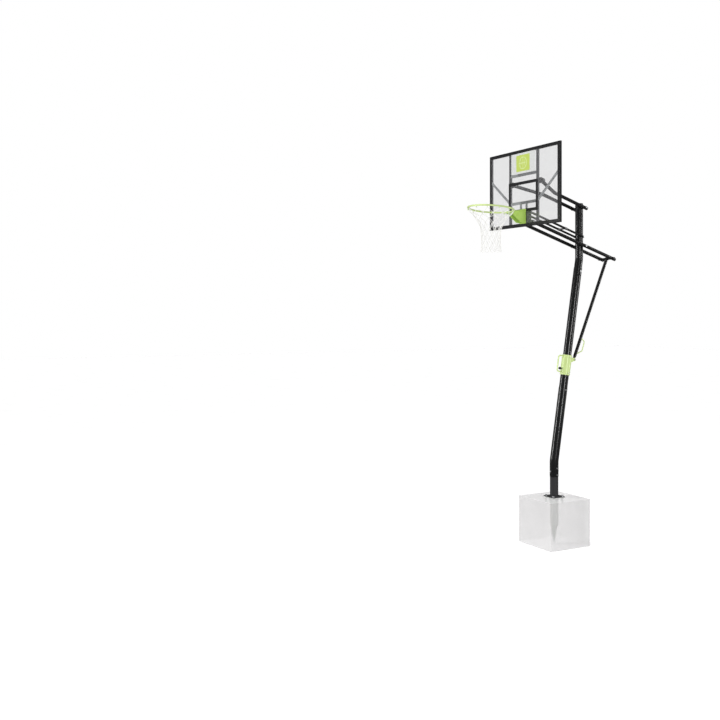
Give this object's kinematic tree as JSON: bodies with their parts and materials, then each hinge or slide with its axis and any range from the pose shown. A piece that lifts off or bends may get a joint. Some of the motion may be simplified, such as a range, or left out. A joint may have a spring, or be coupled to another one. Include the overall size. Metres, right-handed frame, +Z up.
{
  "type": "basketball hoop",
  "caption": "In-ground basketball hoop: clear framed backboard and netted ring on lever-lifted parallel arms, with a leaning post bolted to a sleeve in a concrete block.",
  "frame": {"origin": "the post's axis at court level, on the top face of the concrete block", "axes": "+Z up; the hoop faces -Y, with the backboard and ring on that side; +X is to the right of a player facing the board"},
  "size_m": [1.158, 1.8653, 4.187],
  "materials": {
    "concrete": "translucent show block",
    "galvanised": "galvanised",
    "zinc": "bright zinc",
    "post_black": "gloss powder coat",
    "stub_black": "semi-gloss powder coat",
    "arm_black": "gloss powder coat",
    "frame_black": "satin powder coat",
    "frame_grey": "satin powder coat",
    "lime": "gloss powder coat",
    "pale_lime": "gloss powder coat",
    "clear_sheet": "clear polycarbonate with printed lines",
    "nylon": "moulded",
    "spring_steel": "wire",
    "net_cord": "braided cord"
  },
  "bodies": {
    "foundation_and_post": {"foundation_block": "concrete", "ground_sleeve": "galvanised", "ground_spike": "galvanised", "anchor_ferrules": "galvanised", "base_bolts": "zinc", "base_washers": "zinc", "post_stub": "stub_black", "lower_post": "post_black", "middle_post": "post_black", "upper_post": "post_black", "post_cap": "nylon", "post_bolts": "zinc", "post_nuts": "zinc", "pivot_spacers": "arm_black"},
    "lower_arms": {"lower_arm_left": "arm_black", "lower_arm_right": "arm_black", "lower_arm_bushes": "nylon", "lower_arm_caps": "nylon", "rear_axle": "zinc", "rear_axle_fittings": "arm_black"},
    "upper_arms": {"upper_arm_left": "arm_black", "upper_arm_right": "arm_black", "upper_arm_bushes": "nylon", "upper_arm_caps": "nylon"},
    "inner_arms": {"inner_arm_left": "arm_black", "inner_arm_right": "arm_black", "inner_arm_brace": "zinc", "inner_arm_bushes": "nylon"},
    "backboard": {"backboard_sheet": "clear_sheet", "frame_top": "frame_black", "frame_bottom": "frame_black", "frame_left": "frame_black", "frame_right": "frame_black", "rear_upright_left": "frame_grey", "rear_upright_right": "frame_grey", "rear_crossbars": "frame_grey", "diagonal_braces": "frame_grey", "upper_arm_brackets": "frame_black", "ring_carrier": "frame_black", "carrier_uprights": "frame_grey", "carrier_spacers": "arm_black", "board_screws": "nylon", "board_bolts": "zinc", "board_nuts": "zinc", "rim_ring": "pale_lime", "rim_bracket": "lime", "net_hooks": "pale_lime", "net": "net_cord"},
    "strut": {"strut": "arm_black", "strut_bushes": "nylon", "strut_handle": "pale_lime"},
    "height_collar": {"collar_sleeve": "pale_lime", "collar_liners": "nylon", "collar_fasteners": "zinc", "collar_handle": "pale_lime", "plunger_housing": "zinc", "plunger_spring": "spring_steel"},
    "lock_plunger": {"plunger_pin": "zinc", "plunger_knob": "nylon"}
  },
  "joints": [
    {"name": "board_height", "type": "hinge", "parent": "foundation_and_post", "child": "lower_arms", "pos_m": [0, 0.349, 2.696], "axis": [1, 0, 0], "range_deg": [0, 62.4]},
    {"name": "upper_arm_swing", "type": "hinge", "parent": "foundation_and_post", "child": "upper_arms", "pos_m": [0, 0.349, 3.107], "axis": [1, 0, 0], "range_deg": [0, 62.4]},
    {"name": "inner_arm_swing", "type": "hinge", "parent": "foundation_and_post", "child": "inner_arms", "pos_m": [0, 0.349, 2.798], "axis": [1, 0, 0], "range_deg": [0, 62.4]},
    {"name": "board_level", "type": "hinge", "parent": "lower_arms", "child": "backboard", "pos_m": [0, -0.36, 2.92227], "axis": [1, 0, 0], "range_deg": [-62.4, 0]},
    {"name": "strut_swing", "type": "hinge", "parent": "lower_arms", "child": "strut", "pos_m": [0, 0.746, 2.5693], "axis": [1, 0, 0], "range_deg": [-54.4, 0]},
    {"name": "collar_slide", "type": "slide", "parent": "foundation_and_post", "child": "height_collar", "axis": [0, 0.1588, 0.9873], "range_m": [0, 0.3688]},
    {"name": "plunger_pull", "type": "slide", "parent": "height_collar", "child": "lock_plunger", "axis": [0, -0.9873, 0.1588], "range_m": [0, 0.012], "stiffness_N_per_m": 600}
  ],
  "couplings": [
    {"joint": "upper_arm_swing", "follows": "board_height", "ratio": 1},
    {"joint": "inner_arm_swing", "follows": "board_height", "ratio": 1},
    {"joint": "board_level", "follows": "board_height", "ratio": -1},
    {"joint": "strut_swing", "follows": "board_height", "ratio": -0.87079},
    {"joint": "collar_slide", "follows": "board_height", "m_per_rad": 0.33854}
  ]
}
